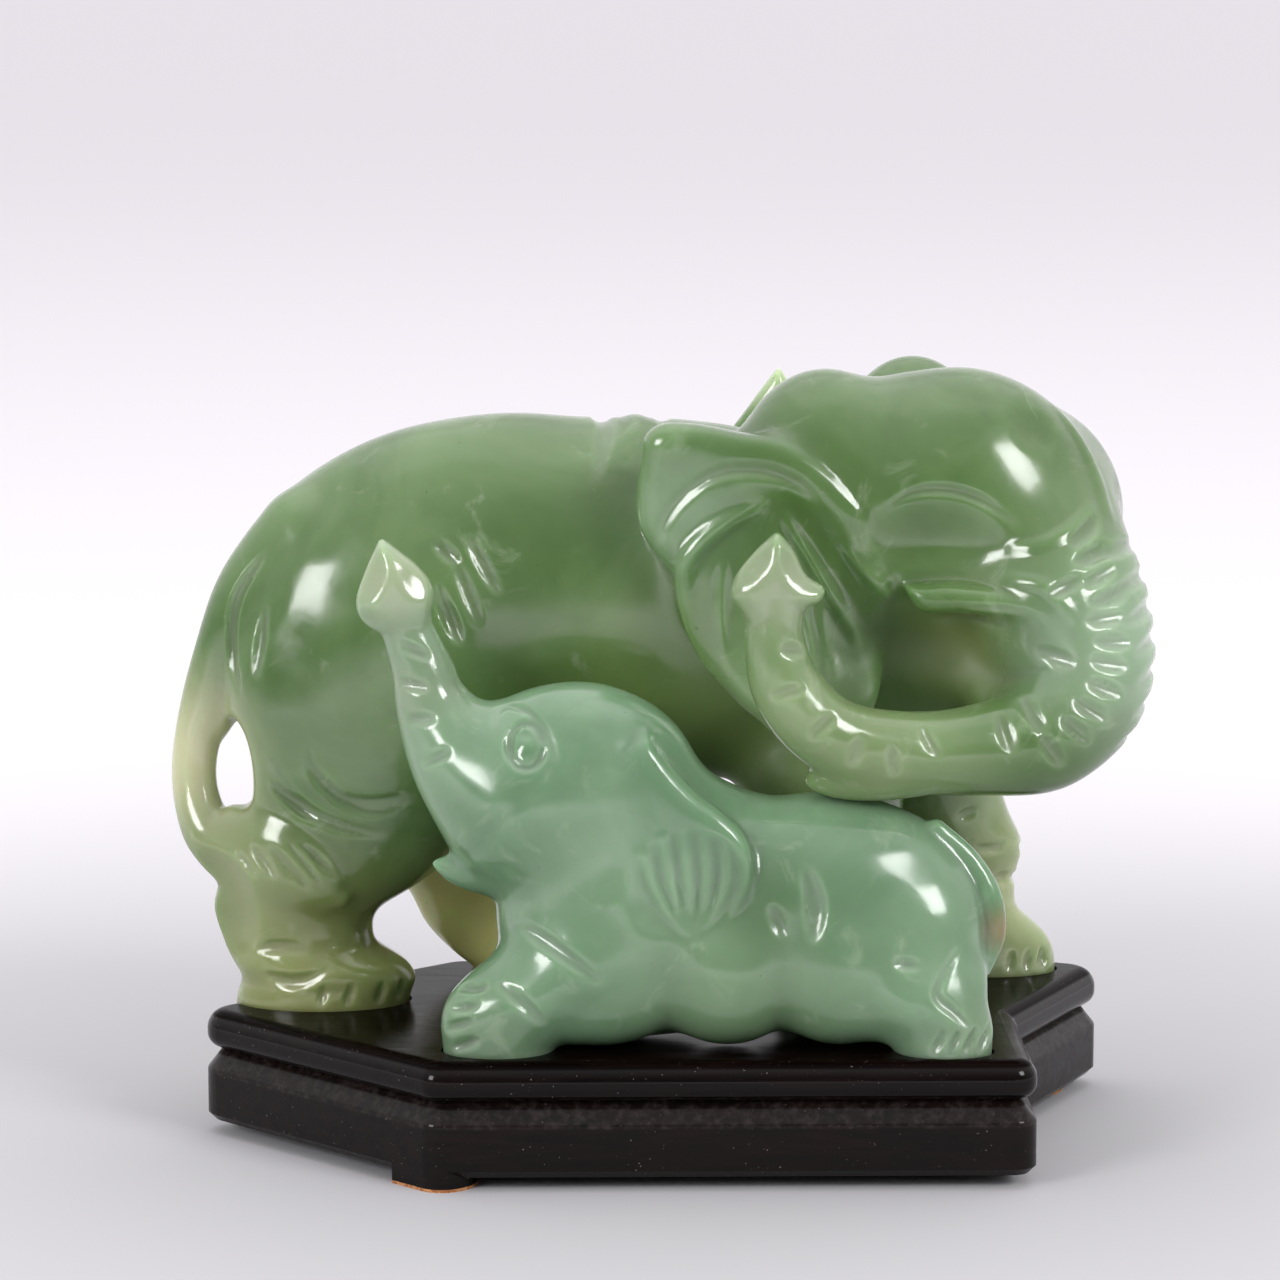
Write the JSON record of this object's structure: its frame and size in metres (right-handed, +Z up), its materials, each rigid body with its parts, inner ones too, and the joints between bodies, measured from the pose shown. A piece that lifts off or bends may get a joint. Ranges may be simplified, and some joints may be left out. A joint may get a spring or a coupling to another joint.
{
  "type": "jade elephant and calf carving on wooden stand",
  "caption": "Carved green jade cow elephant with her calf, trunks curled up, standing in shallow sockets on a dark lacquered stepped wooden stand.",
  "frame": {"origin": "on the floor, under the middle of the whole piece", "axes": "+Z up, +X the way the cow's body faces, -Y the calf's side and the main view's side"},
  "size_m": [0.1642, 0.082, 0.1279],
  "materials": {
    "cow_jade": "polished",
    "calf_jade": "polished",
    "lacquered_wood": "gloss lacquer",
    "stained_wood": "satin stain",
    "dowel_wood": "bare wood",
    "cork_pad": "cork"
  },
  "bodies": {
    "stand": {"stand_top_board": "lacquered_wood", "stand_base_board": "stained_wood", "board_dowels": "dowel_wood", "foot_front_left": "stained_wood", "foot_front_right": "stained_wood", "foot_back_right": "stained_wood", "foot_back_left": "stained_wood", "pad_front_left": "cork_pad", "pad_front_right": "cork_pad", "pad_back_right": "cork_pad", "pad_back_left": "cork_pad"},
    "carving": {"cow_carving": "cow_jade", "calf_carving": "calf_jade"}
  },
  "joints": [
    {"name": "carving_lift", "type": "slide", "parent": "stand", "child": "carving", "axis": [0, 0, 1], "range_m": [0, 0.04]}
  ]
}
